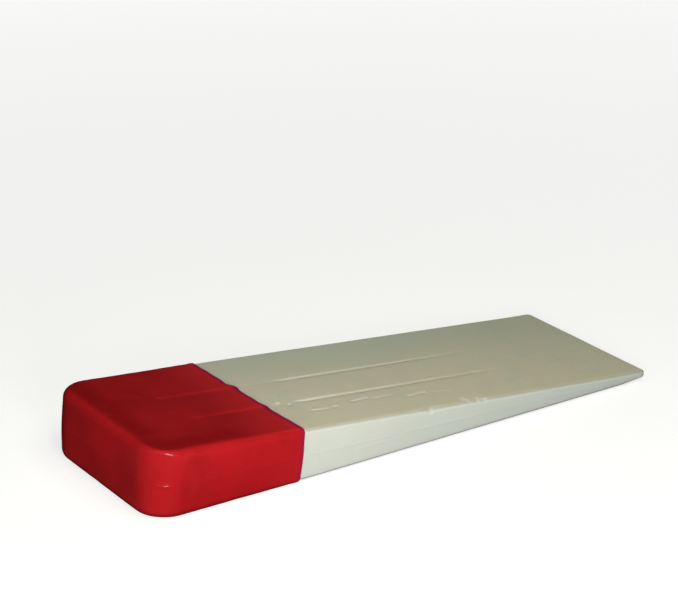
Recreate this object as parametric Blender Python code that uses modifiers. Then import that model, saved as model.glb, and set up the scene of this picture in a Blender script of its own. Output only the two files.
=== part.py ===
"""Felling wedge: a solid plastic wedge whose struck head is dipped in a thick vinyl coat.

The wedge is drawn in its mould frame: X runs from the head's struck face to the tip, Y across the
width, and Z through the thickness from the parting plane, where the two halves of the mould meet.
It is then laid down on its lower broad face, with the middle of its base at the world's origin.
"""
import math

import bmesh
import bpy
from mathutils import Matrix, Vector

# Driving dimensions, in metres
BODY_LENGTH = 0.2032
BODY_WIDTH = 0.0635
HEAD_THICKNESS = 0.0228
TIP_THICKNESS = 0.0030
DRAFT_ANGLE = math.radians(2.0)

HEAD_CORNER_RADIUS = 0.0110
TIP_CORNER_RADIUS = 0.0020
HEAD_EDGE_ROUNDING = 0.0026
NECK_EDGE_ROUNDING = 0.0021
BODY_EDGE_ROUNDING = 0.0009
NECK_START = 0.0327
NECK_END = 0.0600
LEAD_IN_LENGTH = 0.0105
LEAD_IN_RISE = 0.0010

COAT_REACH = 0.0538
COAT_PROUD = 0.00045
CLEARANCE = 0.0003

GROOVE_RADIUS = 0.0030
COAT_GROOVE_RADIUS = 0.0020
GROOVE_DEPTH = 0.00050
GROOVE_END_LIFT = 0.00008
UPPER_GROOVE_PLACES = (-0.0105, 0.0073)
UPPER_GROOVE_SPAN = (0.022, 0.153)
LOWER_GROOVE_PLACES = (-0.0053, 0.0053)
LOWER_GROOVE_SPAN = (0.030, 0.128)

# Fineness of the round stretches
CORNER_SEGMENTS = 10
TIP_CORNER_SEGMENTS = 4
ROUNDING_SEGMENTS = 4
GROOVE_POINTS = 17
GROOVE_BEVEL_RESOLUTION = 3

WELD_DISTANCE = 0.00001
CUTTER_MARGIN = 0.010
HALF_TAPER = math.atan((HEAD_THICKNESS - TIP_THICKNESS) / 2 / BODY_LENGTH)


def clear_scene():
    for existing in list(bpy.data.objects):
        bpy.data.objects.remove(existing, do_unlink=True)


def make_collection(name):
    collection = bpy.data.collections.new(name)
    bpy.context.scene.collection.children.link(collection)
    return collection


def make_material(name, colour, roughness, metallic=0.0):
    material = bpy.data.materials.new(name)
    material.use_nodes = True
    shader = material.node_tree.nodes["Principled BSDF"]
    shader.inputs["Base Color"].default_value = (*colour, 1.0)
    shader.inputs["Roughness"].default_value = roughness
    shader.inputs["Metallic"].default_value = metallic
    return material


def half_thickness(x):
    """Height of the broad face over the parting plane, at a distance x from the head."""
    return (HEAD_THICKNESS + (TIP_THICKNESS - HEAD_THICKNESS) * x / BODY_LENGTH) / 2


def object_from_bmesh(mesh_builder, name, collection):
    mesh = bpy.data.meshes.new(name)
    mesh_builder.to_mesh(mesh)
    mesh_builder.free()
    result = bpy.data.objects.new(name, mesh)
    collection.objects.link(result)
    return result


def evaluated_copy(source, name, collection):
    """A plain mesh object made of what the source's modifiers give; the source is removed."""
    graph = bpy.context.evaluated_depsgraph_get()
    mesh = bpy.data.meshes.new_from_object(source.evaluated_get(graph))
    mesh.name = name
    result = bpy.data.objects.new(name, mesh)
    result.matrix_world = source.matrix_world.copy()
    collection.objects.link(result)
    bpy.data.objects.remove(source, do_unlink=True)
    return result


def hide_cutter(cutter):
    cutter.hide_render = True
    cutter.display_type = "WIRE"


def boolean(target, cutter, operation):
    modifier = target.modifiers.new(operation.title() + " " + cutter.name, "BOOLEAN")
    modifier.operation = operation
    modifier.solver = "EXACT"
    modifier.object = cutter
    hide_cutter(cutter)


# The moulded form ---------------------------------------------------------------------------

def plan_prism(offset):
    """A prism of the wedge's plan outline, from the parting plane up, open at the plane."""
    prism = bmesh.new()
    length = BODY_LENGTH + offset
    width = BODY_WIDTH + 2 * offset
    bmesh.ops.create_cube(prism, size=1.0)
    bmesh.ops.scale(prism, vec=(length, width, 1.0), verts=prism.verts)
    bmesh.ops.translate(prism, vec=(length / 2 - offset, 0.0, 0.5), verts=prism.verts)
    base = [face for face in prism.faces if face.calc_center_median().z < 0.25]
    bmesh.ops.delete(prism, geom=base, context="FACES_ONLY")
    for at_head, radius, segments in (
        (True, HEAD_CORNER_RADIUS + offset, CORNER_SEGMENTS),
        (False, TIP_CORNER_RADIUS, TIP_CORNER_SEGMENTS),
    ):
        corners = [edge for edge in prism.edges if is_upright(edge) and is_at_head(edge) == at_head]
        bmesh.ops.bevel(
            prism, geom=corners, offset=radius, segments=segments, profile=0.5, affect="EDGES"
        )
    return prism


def is_upright(edge):
    return abs(edge.verts[0].co.z - edge.verts[1].co.z) > 0.5


def is_at_head(edge):
    return edge.verts[0].co.x < BODY_LENGTH / 2


def taper_and_draft(prism, offset):
    """Bring the prism's top to the sloping broad face, and lean its walls in by the draft."""
    middle = BODY_LENGTH / 2
    lean = math.tan(DRAFT_ANGLE)
    for vertex in prism.verts:
        if vertex.co.z < 0.5:
            continue
        inset = lean * half_thickness(vertex.co.x)
        vertex.co.x = middle + (vertex.co.x - middle) * (1 - inset / middle)
        vertex.co.y *= 1 - inset / (BODY_WIDTH / 2)
        vertex.co.z = half_thickness(vertex.co.x) + offset


def split_long_sides(prism):
    """Divide the long sides where the rounding of their edges changes."""
    for x in (NECK_START, NECK_END):
        everything = prism.verts[:] + prism.edges[:] + prism.faces[:]
        bmesh.ops.bisect_plane(
            prism, geom=everything, plane_co=(x, 0, 0), plane_no=(1, 0, 0), dist=WELD_DISTANCE
        )


def rounding_at(x):
    """Radius of the rounding where the walls meet the broad face."""
    if x < HEAD_CORNER_RADIUS:
        return HEAD_EDGE_ROUNDING
    return NECK_EDGE_ROUNDING if x < NECK_START else BODY_EDGE_ROUNDING


def weigh_rim(prism, offset):
    """Large rounding round the head, easing to a crisp edge on the bare plastic."""
    weights = prism.edges.layers.float.new("bevel_weight_edge")
    for edge in prism.edges:
        on_rim = all(v.co.z > half_thickness(v.co.x) + offset - WELD_DISTANCE for v in edge.verts)
        if on_rim and is_outline_edge(edge):
            x = (edge.verts[0].co.x + edge.verts[1].co.x) / 2
            edge[weights] = rounding_at(x) / HEAD_EDGE_ROUNDING


def is_outline_edge(edge):
    """True where a broad face meets a wall, and false where two parts of the face meet."""
    return len(edge.link_faces) == 2 and edge.calc_face_angle() > math.radians(45)


def wedge_form(name, offset, collection):
    """The whole moulded form, grown by offset on every side but the tip."""
    prism = plan_prism(offset)
    split_long_sides(prism)
    taper_and_draft(prism, offset)
    weigh_rim(prism, offset)
    half = object_from_bmesh(prism, name + "_half", collection)
    rounding = half.modifiers.new("Edge rounding", "BEVEL")
    rounding.limit_method = "WEIGHT"
    rounding.width = HEAD_EDGE_ROUNDING
    rounding.segments = ROUNDING_SEGMENTS
    mirror = half.modifiers.new("Other half of the mould", "MIRROR")
    mirror.use_axis = (False, False, True)
    mirror.merge_threshold = WELD_DISTANCE
    form = evaluated_copy(half, name, collection)
    boolean(form, groove_cutter(name + "_grooves", offset, collection), "DIFFERENCE")
    boolean(form, lead_in_cutter(name + "_lead_in", collection), "DIFFERENCE")
    return form


def groove_depth_at(share):
    """Depth of a groove along its span: deepest towards the head, with both ends clear of the face."""
    fade = math.sqrt(math.sin(math.pi * share)) * (1 - 0.5 * share)
    return GROOVE_DEPTH * fade - GROOVE_END_LIFT


def add_groove_path(curve, y, span, side, radius, offset):
    """One path whose rod dips into the broad face along the span, and is clear of it at both ends."""
    spline = curve.splines.new("POLY")
    spline.points.add(GROOVE_POINTS - 1)
    for index, point in enumerate(spline.points):
        share = index / (GROOVE_POINTS - 1)
        x = span[0] + (span[1] - span[0]) * share
        height = half_thickness(x) + offset + radius - groove_depth_at(share)
        point.co = (x, y, side * height, 1.0)


def groove_cutter(name, offset, collection):
    """Four long rods, two over each broad face; the lower pair lies closer together."""
    radius = COAT_GROOVE_RADIUS if offset > 0 else GROOVE_RADIUS - offset
    curve = bpy.data.curves.new(name, "CURVE")
    curve.dimensions = "3D"
    curve.bevel_depth = radius
    curve.bevel_resolution = GROOVE_BEVEL_RESOLUTION
    curve.use_fill_caps = True
    for place in UPPER_GROOVE_PLACES:
        add_groove_path(curve, place, UPPER_GROOVE_SPAN, 1, radius, offset)
    for place in LOWER_GROOVE_PLACES:
        add_groove_path(curve, place, LOWER_GROOVE_SPAN, -1, radius, offset)
    rods = bpy.data.objects.new(name + "_rods", curve)
    collection.objects.link(rods)
    cutter = evaluated_copy(rods, name, collection)
    weld_caps(cutter)
    hide_cutter(cutter)
    return cutter


def weld_caps(target):
    builder = bmesh.new()
    builder.from_mesh(target.data)
    bmesh.ops.remove_doubles(builder, verts=builder.verts, dist=WELD_DISTANCE)
    bmesh.ops.recalc_face_normals(builder, faces=builder.faces)
    builder.to_mesh(target.data)
    builder.free()


def block(name, low, high, collection):
    """A box between two corners."""
    builder = bmesh.new()
    bmesh.ops.create_cube(builder, size=1.0)
    size = [high[axis] - low[axis] for axis in range(3)]
    centre = [(high[axis] + low[axis]) / 2 for axis in range(3)]
    bmesh.ops.scale(builder, vec=size, verts=builder.verts)
    bmesh.ops.translate(builder, vec=centre, verts=builder.verts)
    return object_from_bmesh(builder, name, collection)


def lead_in_cutter(name, collection):
    """A tilted block that planes the lower face up to the tip."""
    reach = LEAD_IN_LENGTH + CUTTER_MARGIN
    half_width = BODY_WIDTH / 2 + CUTTER_MARGIN
    cutter = block(name, (0, -half_width, -CUTTER_MARGIN), (reach, half_width, 0), collection)
    start = BODY_LENGTH - LEAD_IN_LENGTH
    tilt = HALF_TAPER + math.atan(LEAD_IN_RISE / LEAD_IN_LENGTH)
    cutter.rotation_euler = (0, -tilt, 0)
    cutter.location = (start, 0, -half_thickness(start))
    hide_cutter(cutter)
    return cutter


# The two pieces -----------------------------------------------------------------------------

def head_block(name, front, collection):
    """A block round the whole head, as far forward as front."""
    reach = BODY_WIDTH / 2 + CUTTER_MARGIN
    low = (-CUTTER_MARGIN, -reach, -reach)
    return block(name, low, (front, reach, reach), collection)


def wedge_body(material, parts, cutters):
    """The moulding, relieved under the coat by the clearance between the two pieces."""
    body = wedge_form("wedge_body", 0.0, parts)
    core = wedge_form("head_core", -CLEARANCE, cutters)
    relief = head_block("head_relief", COAT_REACH + CLEARANCE, cutters)
    boolean(relief, core, "DIFFERENCE")
    boolean(body, relief, "DIFFERENCE")
    body.data.materials.clear()
    body.data.materials.append(material)
    return body


def red_head_coat(material, parts, cutters):
    """The dipped shell: the grown form cut off at its front edge, less the wedge inside it."""
    coat = wedge_form("red_head_coat", COAT_PROUD, parts)
    boolean(coat, head_block("coat_extent", COAT_REACH, cutters), "INTERSECT")
    boolean(coat, wedge_form("coat_cavity", 0.0, cutters), "DIFFERENCE")
    coat.data.materials.clear()
    coat.data.materials.append(material)
    return coat


def move_cutters(parts, cutters):
    """Leave only the two pieces in the wedge's collection."""
    for item in list(parts.objects):
        if item.name not in ("wedge_body", "red_head_coat"):
            parts.objects.unlink(item)
            cutters.objects.link(item)


def lay_down(pieces, cutters, parts):
    """Rest the wedge on the lower face of its coat, centred over the origin."""
    base = bpy.data.objects.new("wedge_placement", None)
    parts.objects.link(base)
    for item in list(pieces) + list(cutters.objects):
        item.parent = base
    turn = Matrix.Rotation(HALF_TAPER, 3, "Y")
    lower_face = turn @ Vector((COAT_REACH, 0, -half_thickness(COAT_REACH) - COAT_PROUD))
    bpy.context.view_layer.update()
    graph = bpy.context.evaluated_depsgraph_get()
    corners = []
    for piece in pieces:
        mesh = piece.evaluated_get(graph).data
        corners.extend((turn @ vertex.co).x for vertex in mesh.vertices)
    base.rotation_euler = turn.to_euler()
    base.location = (-(min(corners) + max(corners)) / 2, 0, -lower_face.z)


def smooth(piece):
    """Shade the round stretches smooth and keep the real corners sharp."""
    piece.data.shade_smooth()
    piece.data.set_sharp_from_angle(angle=math.radians(35))


def main():
    clear_scene()
    parts = make_collection("felling_wedge")
    cutters = make_collection("cutters")
    ivory = make_material("ivory_plastic", (0.72, 0.74, 0.60), 0.45)
    red = make_material("red_vinyl", (0.60, 0.015, 0.02), 0.25)
    body = wedge_body(ivory, parts, cutters)
    coat = red_head_coat(red, parts, cutters)
    move_cutters(parts, cutters)
    lay_down((body, coat), cutters, parts)
    smooth(body)
    smooth(coat)
    bpy.context.view_layer.update()


main()
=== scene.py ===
"""Looks of the felling wedge: the moulded plastic body and the dipped red coat over its head.

Both pieces are drawn as fine lattices in the mould frame of the CAD part, where X runs from the
head's struck face to the tip, Y across the width, and Z through the thickness from the parting
plane. They are then laid down on the same place as the CAD part. Lengths are in metres.
"""

import math

import bpy
import numpy as np
from mathutils import Matrix, Vector


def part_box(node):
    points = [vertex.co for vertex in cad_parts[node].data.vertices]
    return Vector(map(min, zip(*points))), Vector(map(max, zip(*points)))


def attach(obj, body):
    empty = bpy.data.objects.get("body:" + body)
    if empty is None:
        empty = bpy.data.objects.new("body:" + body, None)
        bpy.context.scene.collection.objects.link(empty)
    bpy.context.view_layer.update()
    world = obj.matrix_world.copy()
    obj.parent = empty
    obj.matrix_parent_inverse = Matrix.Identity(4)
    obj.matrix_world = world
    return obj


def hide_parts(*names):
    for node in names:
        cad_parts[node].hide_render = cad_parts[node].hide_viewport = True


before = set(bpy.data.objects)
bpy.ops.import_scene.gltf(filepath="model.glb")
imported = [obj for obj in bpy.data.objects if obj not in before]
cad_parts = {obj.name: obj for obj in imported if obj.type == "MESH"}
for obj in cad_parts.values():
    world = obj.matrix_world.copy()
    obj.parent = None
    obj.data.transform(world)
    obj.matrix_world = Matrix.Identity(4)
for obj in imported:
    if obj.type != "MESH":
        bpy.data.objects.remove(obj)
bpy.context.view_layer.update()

# The moulded form: the CAD part's, but for the rounding of its bare plastic
LENGTH = 0.2032
WIDTH = 0.0635
HEAD_THICKNESS = 0.0228
TIP_THICKNESS = 0.0030
DRAFT = math.tan(math.radians(2.0))
HEAD_RADIUS = 0.0110
TIP_RADIUS = 0.0020
HEAD_ROUNDING = 0.0026
NECK_ROUNDING = 0.0021
BODY_ROUNDING = 0.0012
TIP_ROUNDING = 0.0006
NECK_START = 0.0327
NECK_END = 0.0600
LEAD_IN_LENGTH = 0.0105
LEAD_IN_RISE = 0.0010
SOFT_PARTING = 0.0060
HALF_TAPER = math.atan((HEAD_THICKNESS - TIP_THICKNESS) / 2 / LENGTH)

# The head's near upper corner, crisper than the others
CRISP_CORNER = 0.0020
CRISP_REACH = 0.0100

# Wear of the near upper edge: where it starts, is full, fades and ends, and one deeper notch
EDGE_WEAR_ZONE = (0.0940, 0.1010, 0.1260, 0.1340)
EDGE_WEAR = 0.00025
EDGE_WEAR_RIPPLE = 0.00030
NOTCH_PLACE = 0.1062
NOTCH_HALF_LENGTH = 0.0022
NOTCH_DEPTH = 0.00075

# The grooves of the two broad faces: places across the width, spans along the length, and how
# they change along it: faint past the coat, then clear, then shallower towards the tip
GROOVE_HALF_WIDTH = 0.00150
GROOVE_DEPTH = 0.00041
GROOVE_WANDER = 0.00010
GROOVE_FADE = 0.50
FAINT_LOSS = 0.85
FAINT_LEAD_IN = 0.0040
CLEARS_BEFORE = 0.0020
CLEARS_AFTER = 0.0025
UPPER_GROOVE_PLACES = (-0.0105, 0.0073)
UPPER_GROOVE_SPAN = (0.022, 0.153)
UPPER_GROOVE_CLEAR = (0.0672, 0.0710)
LOWER_GROOVE_PLACES = (-0.0053, 0.0053)
LOWER_GROOVE_SPAN = (0.030, 0.128)

# The same grooves under the coat
SOFT_GROOVE_DEPTH = 0.00021
SOFT_GROOVE_SHIFT = 0.0008
SOFT_GROOVE_FAR_REACH = 0.0012
SOFT_GROOVE_NEAR_REACH = 0.0038
SOFT_GROOVE_LEAD_IN = 0.0060

# The stretch of the near groove that is rubbed white, and its thinner tail
SCUFF_START = (0.0640, 0.0685)
SCUFF_THINNING = (0.0790, 0.0840)
SCUFF_END = (0.0900, 0.1250)
SCUFF_TAIL_LOSS = 0.75
SCUFF_RAGGED = 0.00035
SCUFF_SHIFT = 0.00025
SCUFF_HALF_WIDTH = 0.00085

# The parting line, which the coat softens, and which stands higher at the near corner of the head
SEAM_HEIGHT = 0.00004
SEAM_HALF_WIDTH = 0.00013
COAT_SEAM_HEIGHT = 0.00002
COAT_SEAM_HALF_WIDTH = 0.00022
CORNER_SEAM_HEIGHT = 0.00014
CORNER_SEAM_PLACE = (0.0042, -0.0300)
CORNER_SEAM_REACH = 0.0018

# Small marks
DENT_DEPTH = 0.00023
DENT_HALF_WIDTH = 0.00068
DENT_FADE = 0.0010
DENT_WANDER = 0.00018
CUT_HALF_WIDTH = 0.00060
CUT_FADE = 0.0006
PIP_HEIGHT = 0.00030
PIP_RADIUS = 0.0009

# The dipped coat
COAT_REACH = 0.0538
COAT_PROUD = 0.00045
LIP_LENGTH = 0.0007
LIP_START = COAT_REACH - LIP_LENGTH
LIP_TUCK = 0.00003
COVERED_RELIEF = 0.0003
DIP_SETBACK = 0.00010
DIP_WAVINESS = 0.00016
DIP_TILT = 0.032
DIP_LEAN = 0.050
DIP_ZONE = 0.0120
BEAD_HEIGHT = 0.00010
BEAD_SETBACK = 0.0017
BEAD_HALF_WIDTH = 0.0009

# How white the marks are worn: shares of white, and the depth at which a chip is white
DENT_WHITENESS = 0.50
SCUFF_WHITENESS = 0.70
WHITE_CHIP = 0.00025

# How far the two skins swell and sink
BODY_SWELL = 0.00003
COAT_SWELL = 0.00006
COAT_LUMPS = 0.00005

# Behind the coat's reach: where the moulding steps up to its bare form, and where its detail starts
STEP_BEHIND = (0.0048, 0.0036)
DETAIL_BEHIND = (0.0036, 0.0016)

# The upright part of a unit normal: over the first on a broad face, under the second on a wall,
# and over the third wherever a chip can be
FACE_NORMAL = 0.7
WALL_NORMAL = 0.5
CHIP_NORMAL = 0.1

# The lattice: how wide its rim is before it is fitted to the rounding, and where it settles
RIM = 0.0026
RIM_LINES = 6
SETTLED = 0.0080
SETTLING_STEP = 0.0009
SETTLED_STEP = 0.0011
JUST_PAST = 0.0001

# The lattice across the width, closest over the grooves and where the near side is dented
GROOVE_ZONE = 0.0016
GROOVE_STEP = 0.00020
MIDDLE_STEP = 0.0012
PLAIN_STEP = 0.0014
DENTED_FROM = 0.0148
DENTED_STEP = 0.00028

# The lattice along the length: where each stretch past the head's corner ends, and its step
WORN_ZONE = (0.0970, 0.1350)
BODY_STRETCHES = (
    (COAT_REACH - 0.0050, 0.0030),
    (WORN_ZONE[0], 0.00060),
    (WORN_ZONE[1], 0.00035),
    (UPPER_GROOVE_SPAN[1], 0.00080),
    (LENGTH - SETTLED, 0.0016),
)
COAT_STRETCHES = (
    (UPPER_GROOVE_SPAN[0], 0.0009),
    (LIP_START - 0.0030, 0.00070),
    (LIP_START, 0.00030),
)
LIP_LINES = 7

# The lattice up the walls, in shares of the half thickness: rows lie close to the parting plane
# up to the first share, and follow the rounding from the second
SEAM_SHARE = 0.3
CURL_SHARE = 0.7
SEAM_ZONE = 0.00028


# The lattice ----------------------------------------------------------------------------------

def spread(start, end, step):
    """Even places from start up to, but not counting, end, at most a step apart."""
    count = max(1, math.ceil((end - start) / step - 0.001))
    return [start + (end - start) * n / count for n in range(count)]


def rim_lines(reach):
    """Depths in from an edge: close together over the rounding, then wider."""
    over_rounding = spread(0, RIM, RIM / RIM_LINES)
    return over_rounding + spread(RIM, SETTLED, SETTLING_STEP) + spread(SETTLED, reach, SETTLED_STEP)


def stretch_lines(start, stretches):
    """Places along stretches that follow each other, each given by its end and its step."""
    lines = []
    for end, step in stretches:
        lines += spread(start, end, step)
        start = end
    return lines


def half_width_lines(grooves, outer_step):
    """Places from the middle of the width to its edge, close together where detail lies."""
    near_edge = [WIDTH / 2 - depth for depth in reversed(rim_lines(HEAD_RADIUS))]
    lines = []
    reach = 0.0
    for place in sorted(grooves):
        start = place - GROOVE_ZONE
        if start > reach:
            lines += spread(reach, start, MIDDLE_STEP)
        start = max(start, reach)
        reach = place + GROOVE_ZONE
        lines += spread(start, reach, GROOVE_STEP)
    lines += spread(reach, DENTED_FROM, PLAIN_STEP)
    lines += spread(DENTED_FROM, near_edge[0], outer_step)
    return lines + near_edge


def width_lines(near_step):
    """Lines across the whole width; only the near side has dents to follow."""
    grooves = UPPER_GROOVE_PLACES + LOWER_GROOVE_PLACES
    near = half_width_lines([-place for place in grooves if place < 0], near_step)
    far = half_width_lines([place for place in grooves if place > 0], PLAIN_STEP)
    return np.array([-place for place in reversed(near[1:])] + far)


def body_length_lines():
    """Lines along the body: coarse under the coat, finest where the near edge is worn."""
    tip_depths = reversed(rim_lines(SETTLED + JUST_PAST))
    lines = rim_lines(HEAD_RADIUS) + stretch_lines(HEAD_RADIUS, BODY_STRETCHES)
    return np.array(lines + [LENGTH - depth for depth in tip_depths])


def coat_length_lines():
    """Lines along the coat, closest over its front lip."""
    lines = rim_lines(HEAD_RADIUS) + stretch_lines(HEAD_RADIUS, COAT_STRETCHES)
    turns = np.linspace(0, math.pi / 2, LIP_LINES)
    return np.array(lines + [LIP_START + LIP_LENGTH * math.sin(turn) for turn in turns])


def height_lines():
    """Shares of the half thickness, from -1 through the parting plane at 0 to 1."""
    upper = list(np.linspace(0, SEAM_SHARE, 5))
    upper += list(np.linspace(SEAM_SHARE, CURL_SHARE, 7)[1:])
    upper += list(np.linspace(CURL_SHARE, 1, 6)[1:])
    return np.array([-share for share in reversed(upper[1:])] + upper)


def block_surface(counts, open_front):
    """Indices of the points on the outside of a block of cells, and the quads between them."""
    along, across, up = np.indices(counts)
    last = [count - 1 for count in counts]
    outside = (along == 0) | (across == 0) | (across == last[1]) | (up == 0) | (up == last[2])
    if not open_front:
        outside |= along == last[0]
    number = np.full(counts, -1)
    number[outside] = np.arange(outside.sum())
    sheets = [
        (number[:, :, -1], False),
        (number[:, :, 0], True),
        (number[:, 0, :], False),
        (number[:, -1, :], True),
        (number[0, :, :], True),
    ]
    if not open_front:
        sheets.append((number[-1, :, :], False))
    quads = np.concatenate([sheet_quads(sheet, flip) for sheet, flip in sheets])
    return along[outside], across[outside], up[outside], quads


def sheet_quads(sheet, flip):
    """The quads of a sheet of numbered points."""
    quads = np.stack([sheet[:-1, :-1], sheet[1:, :-1], sheet[1:, 1:], sheet[:-1, 1:]], axis=-1)
    quads = quads.reshape(-1, 4)
    return quads[:, ::-1] if flip else quads


# The form -------------------------------------------------------------------------------------

def ease(value, low, high):
    """A smooth step from 0 at low to 1 at high."""
    share = np.clip((value - low) / (high - low), 0, 1)
    return share * share * (3 - 2 * share)


def between(value, start, full, fading, end):
    """A smooth rise from start to full, and a smooth fall from fading to end."""
    return ease(value, start, full) * (1 - ease(value, fading, end))


def bell(distance, half_width):
    """1 at no distance, 0.37 at the half width, and nearly 0 at twice it."""
    return np.exp(-(distance / half_width) ** 2)


def round_bell(along, across, radius):
    """The same over two distances at right angles."""
    return np.exp(-(along ** 2 + across ** 2) / radius ** 2)


def half_thickness(x, lower):
    """Height of a broad face over the parting plane; the lower one lifts towards the tip."""
    plain = (HEAD_THICKNESS + (TIP_THICKNESS - HEAD_THICKNESS) * x / LENGTH) / 2
    lift = np.clip(x - (LENGTH - LEAD_IN_LENGTH), 0, None) * LEAD_IN_RISE / LEAD_IN_LENGTH
    return plain - np.where(lower, lift, 0)


def rounding(x, side_depth, near_upper):
    """Radius where the walls meet the broad faces: large at the head, but for its crisp corner."""
    places = (HEAD_RADIUS, NECK_START, NECK_END, LENGTH - LEAD_IN_LENGTH, LENGTH)
    radii = (HEAD_ROUNDING, NECK_ROUNDING, BODY_ROUNDING, BODY_ROUNDING, TIP_ROUNDING)
    moulded = np.interp(x, places, radii)
    crisp_corner = CRISP_CORNER * round_bell(x, side_depth, CRISP_REACH)
    return moulded + np.where(near_upper, edge_wear(x) - crisp_corner, 0)


def edge_wear(x):
    """How much more the near upper edge is rounded where use has worn it."""
    wear = EDGE_WEAR + EDGE_WEAR_RIPPLE * ripple(x, 0 * x, RAG_WAVES)
    notch = NOTCH_DEPTH * bell(x - NOTCH_PLACE, NOTCH_HALF_LENGTH)
    return between(x, *EDGE_WEAR_ZONE) * wear + notch


def draft_inset(height):
    """How far the drafted walls lean in at a height from the parting plane, where they turn softly."""
    return DRAFT * height ** 2 / np.hypot(height, SOFT_PARTING)


def ring_height(turn, radius, top):
    """Height of a point of the rounding, whose normal leans by turn from the vertical."""
    return top - radius * (1 - np.cos(turn))


def face_turn(depth):
    """Lean of the normal over the broad face, by the lattice's depth from the edge."""
    return math.pi / 4 * (1 - np.clip(depth / RIM, 0, 1))


def face_inset(depth, radius, top, offset):
    """How far in from the outline a line of the broad face comes."""
    turn = face_turn(depth)
    inset = draft_inset(ring_height(turn, radius, top)) + radius * (1 - np.sin(turn))
    share = np.clip((depth - RIM) / (SETTLED - RIM), 0, 1)
    settled = np.maximum(depth, SETTLED) + offset
    return np.where(depth > RIM, inset + (settled - inset) * share, inset)


def wall_place(share, radius, top):
    """Inset and height of a point of the walls, by its share of the half thickness."""
    straight = top - radius
    core = np.minimum(SEAM_ZONE, straight / 2)
    height = np.interp(share, (0, SEAM_SHARE), (0, 1)) * core
    height = height + np.interp(share, (SEAM_SHARE, CURL_SHARE), (0, 1)) * (straight - core)
    turn = math.pi / 2 - math.pi / 4 * np.clip((share - CURL_SHARE) / (1 - CURL_SHARE), 0, 1)
    height = np.where(share > CURL_SHARE, ring_height(turn, radius, top), height)
    curl = np.where(share > CURL_SHARE, radius * (1 - np.sin(turn)), 0)
    return draft_inset(height) + curl, height


def tip_corner_reach(radius, top):
    """The lattice's depth at which a line lies on the centre of the tip's corner."""
    start = radius + draft_inset(top)
    return RIM + (TIP_RADIUS - start) * (SETTLED - RIM) / (SETTLED - start)


def wedge_points(x, y, share, offset, with_tip):
    """Points of the moulded form, grown by offset, in the mould frame."""
    lower = share < 0
    radius = rounding(x, WIDTH / 2 - np.abs(y), (y < 0) & (share > 0)) + offset
    share = np.abs(share)
    top = half_thickness(x, lower) + offset
    from_head = x < LENGTH / 2 if with_tip else np.full(x.shape, True)
    end_depth = np.where(from_head, x, LENGTH - x)
    side_depth = WIDTH / 2 - np.abs(y)
    wall_inset, wall_height = wall_place(share, radius, top)
    on_wall = share < 1

    def inset_at(depth):
        return np.where(on_wall & (depth < 1e-9), wall_inset, face_inset(depth, radius, top, offset))

    end_inset = inset_at(end_depth)
    side_inset = inset_at(side_depth)
    out_x = np.where(from_head, end_inset - offset, LENGTH - end_inset)
    out_y = WIDTH / 2 + offset - side_inset

    corner = np.where(from_head, HEAD_RADIUS, TIP_RADIUS)
    reach = np.where(from_head, HEAD_RADIUS, tip_corner_reach(TIP_ROUNDING, TIP_THICKNESS / 2))
    u = 1 - end_depth / reach
    v = 1 - side_depth / reach
    in_corner = (u > 0) & (v > 0)
    ring = corner + np.where(from_head, offset, 0) - np.where(u > v, end_inset, side_inset)
    spoke = np.maximum(np.hypot(u, v), 1e-9)
    corner_x = corner - ring * u / spoke
    out_x = np.where(in_corner, np.where(from_head, corner_x, LENGTH - corner_x), out_x)
    out_y = np.where(in_corner, WIDTH / 2 - corner + ring * v / spoke, out_y)

    depth = np.minimum(end_depth, side_depth)
    true_top = half_thickness(out_x, lower) + offset
    face_height = ring_height(face_turn(depth), radius, true_top)
    height = np.where(on_wall, wall_height * true_top / top, face_height)
    return np.stack([out_x, np.sign(y) * out_y, np.where(lower, -height, height)], axis=1)


def point_normals(points, quads):
    """Outward unit normals, averaged over the quads at each point."""
    corners = points[quads]
    facing = np.cross(corners[:, 2] - corners[:, 0], corners[:, 3] - corners[:, 1])
    total = np.zeros_like(points)
    for corner in range(4):
        np.add.at(total, quads[:, corner], facing)
    return total / np.maximum(np.linalg.norm(total, axis=1, keepdims=True), 1e-20)


# Detail in the form ---------------------------------------------------------------------------

def ripple(a, b, waves):
    """A sum of waves over two coordinates; each wave has a length, a direction and a phase."""
    total = np.zeros_like(a)
    for length, direction, phase in waves:
        along = a * math.cos(direction) + b * math.sin(direction)
        total += np.sin(2 * math.pi * along / length + phase)
    return total / len(waves)


# Sets of waves: length, direction in radians, and phase
BROAD_WAVES = ((0.043, 0.3, 0.4), (0.029, 1.9, 1.7), (0.021, 2.6, 3.0), (0.034, 1.2, 5.1))
LUMP_WAVES = ((0.0132, 0.5, 0.2), (0.0103, 2.1, 2.2), (0.0081, 1.3, 4.0), (0.0064, 2.9, 5.5))
RAG_WAVES = ((0.0061, 0.0, 0.8), (0.0037, 0.0, 2.9), (0.0021, 0.0, 4.4), (0.0013, 0.0, 1.1))


def groove_strength(x, span, clear_from):
    """How deep a groove is along its span: faint from the coat to where it is clear, then fading."""
    share = np.clip((x - span[0]) / (span[1] - span[0]), 0, 1)
    clearing = clear_from - CLEARS_BEFORE, clear_from + CLEARS_AFTER
    faint = between(x, COAT_REACH - FAINT_LEAD_IN, COAT_REACH, *clearing)
    return np.sqrt(np.sin(math.pi * share)) * (1 - GROOVE_FADE * share) * (1 - FAINT_LOSS * faint)


def groove_set():
    """Place, span, start of the clear stretch, and face (1 upper, -1 lower) of each groove."""
    upper = [
        (place, UPPER_GROOVE_SPAN, clear_from, 1)
        for place, clear_from in zip(UPPER_GROOVE_PLACES, UPPER_GROOVE_CLEAR)
    ]
    lower = [(place, LOWER_GROOVE_SPAN, COAT_REACH, -1) for place in LOWER_GROOVE_PLACES]
    return upper + lower


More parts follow.
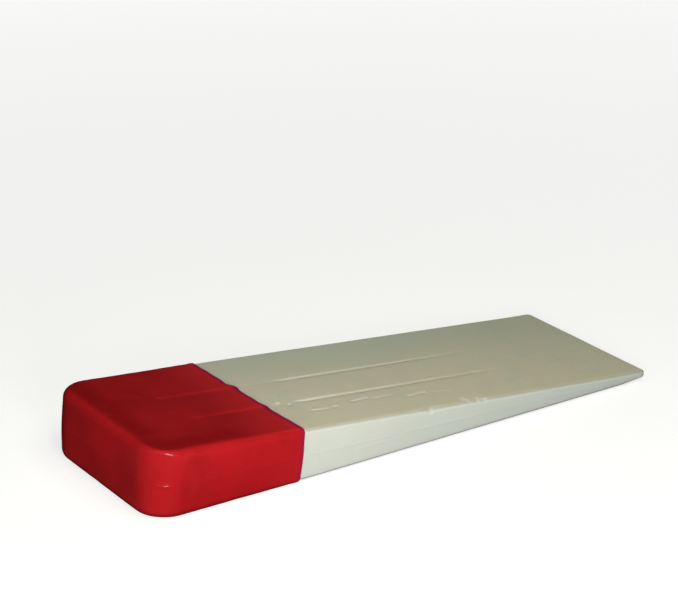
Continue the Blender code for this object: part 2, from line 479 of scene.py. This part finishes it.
def grooves(points, normals):
    """Depth of the shallow grooves, which wander a little."""
    x, y, _ = points.T
    depth = np.zeros(len(points))
    for place, span, clear_from, face in groove_set():
        sideways = np.abs(y - place - GROOVE_WANDER * ripple(x, 0 * y, RAG_WAVES))
        across = np.cos(math.pi / 2 * np.clip(sideways / GROOVE_HALF_WIDTH, 0, 1)) ** 2
        on_face = face * normals[:, 2] > FACE_NORMAL
        strength = groove_strength(x, span, clear_from)
        depth = np.maximum(depth, GROOVE_DEPTH * strength * across * on_face)
    return depth


def soft_grooves(points, normals):
    """The same grooves, half filled by the coat, which lies steeper on their far side."""
    x, y, _ = points.T
    depth = np.zeros(len(points))
    for place, span, _, face in groove_set():
        sideways = y - place + SOFT_GROOVE_SHIFT
        reach = np.where(sideways > 0, SOFT_GROOVE_FAR_REACH, SOFT_GROOVE_NEAR_REACH)
        on_face = face * normals[:, 2] > FACE_NORMAL
        strength = ease(x, span[0], span[0] + SOFT_GROOVE_LEAD_IN) * on_face
        depth += SOFT_GROOVE_DEPTH * strength * bell(sideways, reach)
    return depth


def scuffed_groove(points, normals):
    """Where the near groove is rubbed white and ragged: a short way past the coat, with a faint tail."""
    x, y, _ = points.T
    tail = 1 - SCUFF_TAIL_LOSS * ease(x, *SCUFF_THINNING)
    zone = ease(x, *SCUFF_START) * tail * (1 - ease(x, *SCUFF_END))
    ragged = SCUFF_RAGGED * ripple(x, 3 * y, RAG_WAVES)
    sideways = y - UPPER_GROOVE_PLACES[0] - SCUFF_SHIFT - ragged
    return zone * bell(sideways, SCUFF_HALF_WIDTH) * (normals[:, 2] > FACE_NORMAL)


def seam(points, normals, half_width):
    """Where the mould leaves its flash line round the walls, at the parting plane."""
    on_wall = np.abs(normals[:, 2]) < WALL_NORMAL
    return on_wall * bell(points[:, 2], half_width)


# Dents on the upper face: start and end along the length, places across the width there, strength
DENTS = (
    (0.0664, 0.0734, -0.0185, -0.0190, 1.0),
    (0.0742, 0.0777, -0.0190, -0.0181, 0.9),
    (0.0836, 0.0918, -0.0169, -0.0158, 1.0),
    (0.0914, 0.1013, -0.0177, -0.0166, 0.6),
    (0.1042, 0.1136, -0.0200, -0.0188, 0.8),
    (0.1142, 0.1218, -0.0198, -0.0211, 0.4),
)
# Cuts across the near groove: near end and far end, each along and across the wedge, strength
CROSS_CUTS = (
    (0.0577, -0.0121, 0.0603, -0.0087, 1.5),
    (0.0622, -0.0123, 0.0634, -0.0107, 1.4),
    (0.0711, -0.0108, 0.0711, -0.0083, 0.5),
    (0.0804, -0.0108, 0.0804, -0.0074, 0.5),
)


def dents(points, normals):
    """How strongly each point belongs to one of the short lengthwise dents or the cross cuts."""
    x, y, _ = points.T
    wander = DENT_WANDER * ripple(x, y, RAG_WAVES)
    marks = np.zeros(len(points))
    for start, end, near_place, far_place, strength in DENTS:
        place = near_place + (far_place - near_place) * (x - start) / (end - start)
        along = between(x, start, start + DENT_FADE, end - DENT_FADE, end)
        marks = np.maximum(marks, strength * along * bell(y - place - wander, DENT_HALF_WIDTH))
    for near_x, near_y, far_x, far_y, strength in CROSS_CUTS:
        place = near_x + (far_x - near_x) * (y - near_y) / (far_y - near_y)
        along = between(y, near_y, near_y + CUT_FADE, far_y - CUT_FADE, far_y)
        marks = np.maximum(marks, strength * along * bell(x - place, CUT_HALF_WIDTH))
    return marks * (normals[:, 2] > FACE_NORMAL)


# Chips beside the near upper edge: place along and across, half size along and across, depth
CHIPS = (
    (0.1058, -0.0312, 0.0007, 0.0006, 0.00012),
    (0.1210, -0.0292, 0.0010, 0.0009, 0.00036),
    (0.1219, -0.0302, 0.0006, 0.0006, 0.00022),
    (0.1262, -0.0303, 0.0008, 0.0008, 0.00034),
    (0.1290, -0.0310, 0.0009, 0.0005, 0.00012),
)


def chips(points, normals):
    """Depth of the chips beside the near upper edge."""
    x, y, z = points.T
    depth = np.zeros(len(points))
    for along, across, half_length, half_width, deepest in CHIPS:
        distance = ((x - along) / half_length) ** 2 + ((y - across) / half_width) ** 2
        depth += deepest * np.exp(-distance)
    return depth * (z > 0) * (normals[:, 2] > CHIP_NORMAL)


# Pips moulded on the head and softened by the coat: place along the length and across the width
PIPS = ((0.0200, 0.0116), (0.0260, 0.0080))


def pips(points, normals):
    """Height of the small pips on the upper face."""
    x, y, _ = points.T
    height = np.zeros(len(points))
    for along, across in PIPS:
        height += PIP_HEIGHT * round_bell(x - along, y - across, PIP_RADIUS)
    return height * (normals[:, 2] > FACE_NORMAL)


def lay_down(points):
    """Turn the mould frame's points so that the lower broad face is level."""
    cosine = math.cos(HALF_TAPER)
    sine = math.sin(HALF_TAPER)
    x = points[:, 0] * cosine + points[:, 2] * sine
    z = points[:, 2] * cosine - points[:, 0] * sine
    return np.stack([x, points[:, 1], z], axis=1)


def placement():
    """What moves the laid-down wedge onto the CAD part, from the coat's own box."""
    low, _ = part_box("red_head_coat")
    heights = height_lines()
    beside_middle = np.full(heights.shape, 0.001)
    end = wedge_points(0 * heights, beside_middle, heights, COAT_PROUD, with_tip=False)
    lip = wedge_points(0 * heights + COAT_REACH, beside_middle, heights, COAT_PROUD, with_tip=False)
    return Vector((low.x - lay_down(end)[:, 0].min(), 0, low.z - lay_down(lip)[0, 2]))


# The two pieces -------------------------------------------------------------------------------

def mesh_object(name, points, quads, masks, material):
    """A smooth mesh object in the CAD part's frame, with named masks for its material."""
    placed = lay_down(points) + np.array(placement())
    mesh = bpy.data.meshes.new(name)
    mesh.from_pydata(placed.tolist(), [], quads.tolist())
    for mask_name, values in masks.items():
        layer = mesh.attributes.new(mask_name, "FLOAT", "POINT")
        layer.data.foreach_set("value", np.asarray(values, dtype=np.float32))
    mesh.shade_smooth()
    mesh.materials.append(material)
    mesh.update()
    piece = bpy.data.objects.new(name, mesh)
    bpy.context.scene.collection.objects.link(piece)
    return piece


def ivory_wedge(material):
    """The moulding, with its grooves, flash line, dents and worn edge."""
    lines = body_length_lines(), width_lines(DENTED_STEP), height_lines()
    along, across, up, quads = block_surface([len(line) for line in lines], open_front=False)
    x, y, share = lines[0][along], lines[1][across], lines[2][up]
    offset = -COVERED_RELIEF * (1 - ease(x, *[COAT_REACH - behind for behind in STEP_BEHIND]))
    points = wedge_points(x, y, share, offset, with_tip=True)
    normals = point_normals(points, quads)
    bare = ease(points[:, 0], *[COAT_REACH - behind for behind in DETAIL_BEHIND])
    dent = dents(points, normals) * bare
    scuff = scuffed_groove(points, normals)
    chip = chips(points, normals)
    rise = bare * SEAM_HEIGHT * seam(points, normals, SEAM_HALF_WIDTH)
    rise += bare * BODY_SWELL * ripple(points[:, 0], points[:, 1], BROAD_WAVES)
    rise -= DENT_DEPTH * dent + chip + grooves(points, normals)
    points = points + normals * rise[:, None]
    masks = ivory_masks(points, normals)
    masks["worn"] = np.clip(DENT_WHITENESS * dent + SCUFF_WHITENESS * scuff + chip / WHITE_CHIP, 0, 1)
    return mesh_object("ivory_wedge", points, quads, masks, material)


def ivory_masks(points, normals):
    """Where light and shade are painted on the plastic, and the blush that the coat leaves along its
    front edge.
    """
    x, y, z = points.T
    upward = normals[:, 2]
    level = np.abs(upward)
    top = ease(upward, 0.5, 0.9)
    flat = ease(upward, 0.93, 0.985)
    from_edge = y + WIDTH / 2
    past_coat = x - COAT_REACH + dip_line(y, z)
    return {
        # Painted light: the near half of the upper face warmer and lighter
        "painted_light_near_half": top * ease(-y, -0.026, 0.010),
        # Painted light: the walls a cooler tone than the upper face, most towards the tip
        "wall": (1 - top) * (0.65 + 0.35 * ease(x, 0.090, LENGTH)),
        # Painted light: a tan band along the near edge of the upper face
        "near_edge": flat * bell(from_edge - 0.0014, 0.0045),
        # Painted shade on the roundings
        "rim": bell(level - 0.74, 0.30) * (1 - ease(level, 0.965, 0.994)),
        "blush": bell(past_coat, 0.0007) * (level > FACE_NORMAL),
    }


def lip_offset(x):
    """The coat's outer height over the moulding, falling round its front lip."""
    over_lip = np.clip((x - LIP_START) / LIP_LENGTH, 0, 1)
    return COAT_PROUD * np.sqrt(1 - over_lip ** 2)


# Where the dip line runs on or draws back: place across, reach and half width. The runs start
# between two heights, which keeps them to the upper face.
RUN_HEIGHTS = (0.002, 0.006)
RUNS = ((0.0070, 0.0009, 0.0019), (0.0108, -0.0006, 0.0020), (-0.0105, 0.0004, 0.0016))


def dip_line(y, z):
    """How far back from its reach the coat ends: the line is tilted and wavy, with a few runs."""
    pull = DIP_SETBACK + DIP_WAVINESS * ripple(y, z, LUMP_WAVES)
    pull += DIP_TILT * y - DIP_LEAN * z
    for place, reach, half_width in RUNS:
        pull -= reach * bell(y - place, half_width) * ease(z, *RUN_HEIGHTS)
    return pull


def coat_shell_points(lines, along, across, up, offset, outer_quads=None):
    """One skin of the coat. The outer one, which comes with its quads, is uneven."""
    points = wedge_points(lines[0][along], lines[1][across], lines[2][up], offset, with_tip=False)
    if outer_quads is not None:
        normals = point_normals(points, outer_quads)
        rise = coat_rise(points, normals, lines[0][along]) * offset / COAT_PROUD
        points = points + normals * rise[:, None]
    x, y, z = points.T
    points[:, 0] -= dip_line(y, z) * ease(x, COAT_REACH - DIP_ZONE, COAT_REACH)
    return points


def coat_rise(points, normals, line):
    """Height of the coat's outer skin over a smooth one. Nothing rises where the wedge lies on it.

    The skin is uneven, has a slight bead behind its lip, and softly shows the parting line, the
    pips and the grooves that it covers.
    """
    x, y, z = points.T
    rise = COAT_LUMPS * ripple(x, y + z, LUMP_WAVES)
    rise += COAT_SWELL * ripple(x, y - z, BROAD_WAVES)
    corner_x, corner_y = CORNER_SEAM_PLACE
    near_corner = round_bell(x - corner_x, y - corner_y, CORNER_SEAM_REACH)
    seam_height = COAT_SEAM_HEIGHT + CORNER_SEAM_HEIGHT * near_corner
    rise += seam_height * seam(points, normals, COAT_SEAM_HALF_WIDTH)
    rise += BEAD_HEIGHT * bell(line - COAT_REACH + BEAD_SETBACK, BEAD_HALF_WIDTH)
    rise += pips(points, normals) - soft_grooves(points, normals)
    underneath = ease(-normals[:, 2], 0.5, 0.95)
    return np.where(rise > 0, rise * (1 - underneath), rise)


def dipped_red_head(material):
    """The vinyl coat: a closed shell whose outer skin turns in at the front lip."""
    lines = coat_length_lines(), width_lines(PLAIN_STEP), height_lines()
    counts = [len(line) for line in lines]
    along, across, up, quads = block_surface(counts, open_front=True)
    outer = coat_shell_points(lines, along, across, up, lip_offset(lines[0][along]), quads)
    inner_offset = np.full(along.shape, -LIP_TUCK)
    inner = coat_shell_points(lines, along, across, up, inner_offset)
    points = np.concatenate([outer, inner])
    all_quads = np.concatenate([quads, quads[:, ::-1] + len(outer), lip_quads(along, across, up, counts)])
    masks = coat_masks(outer, point_normals(outer, quads), lines[0][along])
    masks = {name: np.concatenate([values, values]) for name, values in masks.items()}
    return mesh_object("dipped_red_head", points, all_quads, masks, material)


def coat_masks(points, normals, line):
    """Where light and shade are painted on the coat, and where it thins to the lip.

    Painted shade lies inside the edges of the broad faces, at the head's end and along the near side, on
    the roundings, and towards the bottom of the walls; painted light brightens the broad faces towards
    the lip.
    """
    x, y, z = points.T
    level = np.abs(normals[:, 2])
    face = ease(level, 0.80, 0.99)
    from_rim = np.minimum(x, y + WIDTH / 2)
    along_wall = between(x, 0.004, 0.012, 0.036, 0.052)
    return {
        # Painted shade: a darker band inside the edges of the broad faces, at the head's end and near
        # side
        "painted_shade_red": face * bell(from_rim - 0.0055, 0.0050) * (1 - ease(x, 0.026, 0.045)),
        # Painted shade: the walls darker towards the bottom, along the head
        "settled": (1 - face) * along_wall * ease(-z, -0.012, 0.010),
        # Painted light: the broad faces lighter towards the lip
        "painted_light_to_lip": face * ease(x, 0.030, COAT_REACH + 0.003),
        # Painted shade on the roundings
        "rim": bell(level - 0.62, 0.30),
        "lip": (0.35 + 0.65 * face) * ease(line, COAT_REACH - 0.0024, COAT_REACH - 0.0010),
    }


def lip_quads(along, across, up, counts):
    """The band that joins the front edges of the two skins."""
    front = along == counts[0] - 1
    number = {(a, b): n for n, a, b in zip(np.nonzero(front)[0], across[front], up[front])}
    last_across, last_up = counts[1] - 1, counts[2] - 1
    loop = [(a, 0) for a in range(last_across)]
    loop += [(last_across, b) for b in range(last_up)]
    loop += [(a, last_up) for a in range(last_across, 0, -1)]
    loop += [(0, b) for b in range(last_up, 0, -1)]
    ids = [number[place] for place in loop]
    return np.array([
        (start, end, end + len(along), start + len(along))
        for start, end in zip(ids, ids[1:] + ids[:1])
    ])


# Materials ------------------------------------------------------------------------------------

def plug(tree, socket, value):
    """Set a socket, or link it where the value is another node's output."""
    if isinstance(value, bpy.types.NodeSocket):
        tree.links.new(value, socket)
    else:
        socket.default_value = value


def add_node(tree, kind, inputs, **settings):
    """A node of one kind, with its inputs set or linked."""
    node = tree.nodes.new(kind)
    for name, value in settings.items():
        setattr(node, name, value)
    for name, value in inputs.items():
        plug(tree, node.inputs[name], value)
    return node


def noise(tree, scale, detail=3.0, roughness=0.5, squash=(1, 1, 1), distortion=0.0):
    """Noise over the object's own coordinates, drawn out along an axis by a small squash value."""
    place = add_node(tree, "ShaderNodeTexCoord", {}).outputs["Object"]
    mapped = add_node(tree, "ShaderNodeMapping", {"Vector": place, "Scale": squash}).outputs["Vector"]
    inputs = {"Vector": mapped, "Scale": scale, "Detail": detail, "Roughness": roughness,
              "Distortion": distortion}
    return add_node(tree, "ShaderNodeTexNoise", inputs).outputs["Fac"]


def remap(tree, value, low, high, new_low=0.0, new_high=1.0):
    """The value, with the range from low to high stretched to the new one and clamped there."""
    inputs = {"Value": value, "From Min": low, "From Max": high, "To Min": new_low, "To Max": new_high}
    return add_node(tree, "ShaderNodeMapRange", inputs).outputs["Result"]


def maths(tree, operation, first, second):
    """The result of a maths operation on two values."""
    node = tree.nodes.new("ShaderNodeMath")
    node.operation = operation
    plug(tree, node.inputs[0], first)
    plug(tree, node.inputs[1], second)
    return node.outputs[0]


def blend_colours(tree, share, first, second):
    """The first colour, or the second one by its share."""
    node = tree.nodes.new("ShaderNodeMix")
    node.data_type = "RGBA"
    plug(tree, node.inputs[0], share)
    plug(tree, node.inputs[6], first)
    plug(tree, node.inputs[7], second)
    return node.outputs[2]


def mask(tree, name, strength=None):
    """One of the mesh's named masks, weakened to a strength if one is given."""
    values = add_node(tree, "ShaderNodeAttribute", {}, attribute_name=name).outputs["Fac"]
    return values if strength is None else maths(tree, "MULTIPLY", values, strength)


def bump(tree, height, distance, strength, normal=None):
    """A normal roughened by a height, over another bump's normal if one is given."""
    inputs = {"Height": height, "Distance": distance, "Strength": strength}
    if normal is not None:
        inputs["Normal"] = normal
    return add_node(tree, "ShaderNodeBump", inputs).outputs["Normal"]


def new_material(name):
    """A material, its node tree and its shader."""
    material = bpy.data.materials.new(name)
    material.use_nodes = True
    return material, material.node_tree, material.node_tree.nodes["Principled BSDF"]


def ivory_plastic():
    """Satin moulded plastic: cream, with faint flow streaks along it, painted light and shade, and whiter
    where it is scuffed.
    """
    material, tree, shader = new_material("ivory_plastic_detail")
    cream = (0.84, 0.83, 0.71, 1)
    straw = (0.80, 0.80, 0.67, 1)
    mint = (0.74, 0.81, 0.70, 1)
    # Painted light on the upper face: warm over its near half, tan along its near edge
    painted_warm_light = (0.92, 0.865, 0.70, 1)
    tan = (0.88, 0.85, 0.66, 1)
    sage = (0.70, 0.78, 0.66, 1)
    rosy = (0.86, 0.77, 0.65, 1)
    blush = (0.98, 0.55, 0.74, 1)
    # Painted light: the walls' cooler tone
    painted_wall_light = (0.79, 0.845, 0.785, 1)
    # Painted shade for the roundings
    painted_rim_shade = (0.52, 0.52, 0.44, 1)
    scuffed = (0.97, 0.98, 0.96, 1)
    freckled = (0.55, 0.52, 0.40, 1)
    streaks = noise(tree, scale=90, detail=4, roughness=0.55, squash=(0.10, 1, 1), distortion=0.4)
    clouds = noise(tree, scale=28, detail=2, squash=(0.5, 1, 1))
    sage_spots = noise(tree, scale=120, roughness=0.6)
    rosy_spots = noise(tree, scale=95, roughness=0.6)
    freckles = noise(tree, scale=900, detail=2, roughness=0.6)
    colour = blend_colours(tree, remap(tree, streaks, 0.42, 0.68), cream, straw)
    colour = blend_colours(tree, remap(tree, clouds, 0.42, 0.66, 0, 0.8), colour, mint)
    # Painted light: the near half of the upper face warmer
    colour = blend_colours(tree, mask(tree, "painted_light_near_half", 0.8), colour, painted_warm_light)
    colour = blend_colours(tree, remap(tree, sage_spots, 0.52, 0.72, 0, 0.40), colour, sage)
    colour = blend_colours(tree, remap(tree, rosy_spots, 0.50, 0.30, 0, 0.40), colour, rosy)
    # Painted light: the walls a cooler tone
    colour = blend_colours(tree, mask(tree, "wall"), colour, painted_wall_light)
    # Painted light along the near edge of the upper face
    colour = blend_colours(tree, mask(tree, "near_edge", 0.6), colour, tan)
    # Painted shade on the roundings
    colour = blend_colours(tree, mask(tree, "rim", 0.9), colour, painted_rim_shade)
    colour = blend_colours(tree, mask(tree, "blush", 0.8), colour, blush)
    colour = blend_colours(tree, remap(tree, freckles, 0.66, 0.76, 0, 0.25), colour, freckled)
    colour = blend_colours(tree, mask(tree, "worn"), colour, scuffed)
    plug(tree, shader.inputs["Base Color"], colour)

    patches = remap(tree, noise(tree, scale=60, roughness=0.6), 0.35, 0.7, 0.36, 0.50)
    plug(tree, shader.inputs["Roughness"], maths(tree, "ADD", patches, mask(tree, "worn", 0.2)))
    plug(tree, shader.inputs["Specular IOR Level"], 0.40)
    plug(tree, shader.inputs["Subsurface Weight"], 0.20)
    plug(tree, shader.inputs["Subsurface Radius"], (1.0, 0.9, 0.6))
    plug(tree, shader.inputs["Subsurface Scale"], 0.004)

    grain = bump(tree, noise(tree, scale=1500, roughness=0.6), distance=0.00004, strength=0.5)
    streaky = noise(tree, scale=700, detail=2, squash=(0.04, 1, 1), distortion=0.3)
    hairlines = remap(tree, streaky, 0.60, 0.72)
    normal = bump(tree, hairlines, distance=0.00005, strength=0.5, normal=grain)
    plug(tree, shader.inputs["Normal"], normal)
    return material


def red_vinyl():
    """Thick glossy dipped vinyl, purple where it thins at the lip, with painted shade and painted light
    on it.

    The roughness stays under 0.27 throughout: a patchwork of rougher and smoother vinyl either
    side of that shows as thin curly outlines in a denoised picture.
    """
    material, tree, shader = new_material("red_vinyl_detail")
    red = (0.55, 0.0135, 0.018, 1)
    cloud = (0.43, 0.0115, 0.016, 1)
    # A deeper red for painted shade
    painted_shade_red = (0.36, 0.007, 0.010, 1)
    # A lighter red for painted light
    painted_light_red = (0.72, 0.026, 0.034, 1)
    lip = (0.42, 0.010, 0.110, 1)
    dust = (0.56, 0.024, 0.027, 1)
    clouds = noise(tree, scale=45, roughness=0.55)
    handled = noise(tree, scale=130, detail=4, roughness=0.6)
    colour = blend_colours(tree, remap(tree, clouds, 0.34, 0.68), red, cloud)
    # Painted shade inside the edges of the broad faces at the head
    colour = blend_colours(tree, mask(tree, "painted_shade_red"), colour, painted_shade_red)
    # Painted shade, darker towards the bottom of the walls
    colour = blend_colours(tree, mask(tree, "settled", 0.6), colour, painted_shade_red)
    # Painted light: the broad faces lighter towards the lip
    colour = blend_colours(tree, mask(tree, "painted_light_to_lip"), colour, painted_light_red)
    # Painted shade on the roundings
    colour = blend_colours(tree, mask(tree, "rim", 0.35), colour, painted_shade_red)
    colour = blend_colours(tree, remap(tree, handled, 0.50, 0.78, 0, 0.30), colour, dust)
    colour = blend_colours(tree, mask(tree, "lip"), colour, lip)
    plug(tree, shader.inputs["Base Color"], colour)

    patches = noise(tree, scale=75, detail=4, roughness=0.6)
    plug(tree, shader.inputs["Roughness"], remap(tree, patches, 0.35, 0.72, 0.16, 0.265))
    plug(tree, shader.inputs["Specular IOR Level"], 0.30)

    peel = bump(tree, noise(tree, scale=420, detail=1, roughness=0.4), distance=0.00010, strength=0.20)
    pores = noise(tree, scale=1900, detail=2)
    normal = bump(tree, pores, distance=0.00001, strength=0.2, normal=peel)
    plug(tree, shader.inputs["Normal"], normal)
    return material


# The studio -----------------------------------------------------------------------------------

FLAT_RADII = (0.05, 0.2, 0.5, 1.0, 1.8, 2.6)
SWEEP_RADIUS = 1.4
WALL_TOP = 4.0
FLOOR_SIDES = 96

# Each light: name, direction it shines from, distance, size, share of white that a facing white
# card gets, colour, and whether reflections show it
LIGHTS = (
    ("key", (-0.483, -0.837, 0.259), 0.40, (0.12, 0.12), 0.58, (1.0, 0.97, 1.0), True),
    ("fill", (-0.837, -0.483, 0.259), 0.50, (0.20, 0.20), 0.24, (0.92, 1.0, 0.83), False),
    ("warm_top", (0.0, -0.423, 0.906), 0.50, (0.30, 0.30), 0.38, (0.98, 1.0, 0.79), False),
    ("back", (0.30, 0.95, 0.085), 1.2, (1.0, 0.19), 0.26, (1.0, 0.98, 0.92), False),
)

# The camera: angles in degrees, focal length and sensor in millimetres
CAMERA_AZIMUTH = -36.602
CAMERA_ELEVATION = 21.818
CAMERA_ROLL = 1.721
CAMERA_LENS = 112.62
CAMERA_SENSOR = 36.0
CAMERA_PLACE = (-0.3961, -0.5189, 0.3022)


def floor_rings():
    """Radius and height of the floor's rings: flat, then curving up, then a straight wall."""
    edge = FLAT_RADII[-1]
    rings = [(radius, 0.0) for radius in FLAT_RADII]
    for turn in np.linspace(0, math.pi / 2, 13)[1:]:
        rings.append((edge + SWEEP_RADIUS * math.sin(turn), SWEEP_RADIUS * (1 - math.cos(turn))))
    return rings + [(edge + SWEEP_RADIUS, WALL_TOP)]


def pale_floor():
    """A pale sweep: a flat floor that curves up into a wall far round the wedge."""
    rings = floor_rings()
    points = [(0, 0, 0)]
    for radius, height in rings:
        for side in range(FLOOR_SIDES):
            angle = 2 * math.pi * side / FLOOR_SIDES
            points.append((radius * math.cos(angle), radius * math.sin(angle), height))
    faces = [(0, 1 + side, 1 + (side + 1) % FLOOR_SIDES) for side in range(FLOOR_SIDES)]
    for ring in range(len(rings) - 1):
        inner = 1 + ring * FLOOR_SIDES
        outer = inner + FLOOR_SIDES
        for side in range(FLOOR_SIDES):
            after = (side + 1) % FLOOR_SIDES
            faces.append((inner + side, outer + side, outer + after, inner + after))
    mesh = bpy.data.meshes.new("pale_floor")
    mesh.from_pydata(points, [], faces)
    mesh.shade_smooth()
    mesh.materials.append(floor_material())
    floor = bpy.data.objects.new("pale_floor", mesh)
    bpy.context.scene.collection.objects.link(floor)
    floor.visible_glossy = False
    floor.visible_diffuse = False


def floor_material():
    """Pale card that glows a little, and more so far from the wedge, where the lights don't reach."""
    material, tree, shader = new_material("pale_floor")
    cloudy = remap(tree, noise(tree, scale=3, detail=2), 0.3, 0.7)
    colour = blend_colours(tree, cloudy, (0.43, 0.43, 0.43, 1), (0.46, 0.46, 0.46, 1))
    plug(tree, shader.inputs["Base Color"], colour)
    plug(tree, shader.inputs["Roughness"], 0.9)
    plug(tree, shader.inputs["Specular IOR Level"], 0.1)
    plug(tree, shader.inputs["Emission Color"], (1, 1, 1, 1))
    place = add_node(tree, "ShaderNodeTexCoord", {}).outputs["Object"]
    distance = add_node(tree, "ShaderNodeVectorMath", {0: place}, operation="LENGTH").outputs["Value"]
    plug(tree, shader.inputs["Emission Strength"], remap(tree, distance, 0.15, 0.90, 0.74, 0.95))
    return material


def soft_light(name, direction, distance, size, share, colour, shows):
    """An area light aimed at the wedge, which reflections show only where shows is true."""
    data = bpy.data.lights.new(name, "AREA")
    data.shape = "RECTANGLE"
    data.size, data.size_y = size
    data.energy = share * (math.pi * distance) ** 2
    data.color = colour
    light = bpy.data.objects.new(name, data)
    toward = Vector(direction).normalized()
    light.location = toward * distance
    light.rotation_euler = toward.to_track_quat("Z", "Y").to_euler()
    light.visible_camera = False
    light.visible_glossy = shows
    bpy.context.scene.collection.objects.link(light)


def studio_lights():
    """The four lights, and a world that adds next to nothing."""
    for light in LIGHTS:
        soft_light(*light)
    world = bpy.data.worlds.new("studio")
    world.use_nodes = True
    backdrop = world.node_tree.nodes["Background"]
    backdrop.inputs["Color"].default_value = (1, 1, 1, 1)
    backdrop.inputs["Strength"].default_value = 0.01
    bpy.context.scene.world = world
    bpy.context.scene.view_settings.view_transform = "Standard"


def camera():
    """Looks at the wedge from its near head corner, a little above it."""
    azimuth = math.radians(CAMERA_AZIMUTH)
    elevation = math.radians(CAMERA_ELEVATION)
    roll = math.radians(CAMERA_ROLL)
    back = Vector((
        math.sin(azimuth) * math.cos(elevation),
        -math.cos(azimuth) * math.cos(elevation),
        math.sin(elevation),
    ))
    data = bpy.data.cameras.new("camera")
    data.lens = CAMERA_LENS
    data.sensor_width = CAMERA_SENSOR
    eye = bpy.data.objects.new("camera", data)
    turn = (-back).to_track_quat("-Z", "Y").to_matrix() @ Matrix.Rotation(roll, 3, "Z")
    eye.rotation_euler = turn.to_euler()
    eye.location = CAMERA_PLACE
    bpy.context.scene.collection.objects.link(eye)
    bpy.context.scene.camera = eye


def add_piece(piece, node):
    """Let a piece stand for a node of the CAD part, and ride on its body."""
    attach(piece, "root")
    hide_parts(node)


add_piece(ivory_wedge(ivory_plastic()), "wedge_body")
add_piece(dipped_red_head(red_vinyl()), "red_head_coat")
pale_floor()
studio_lights()
camera()
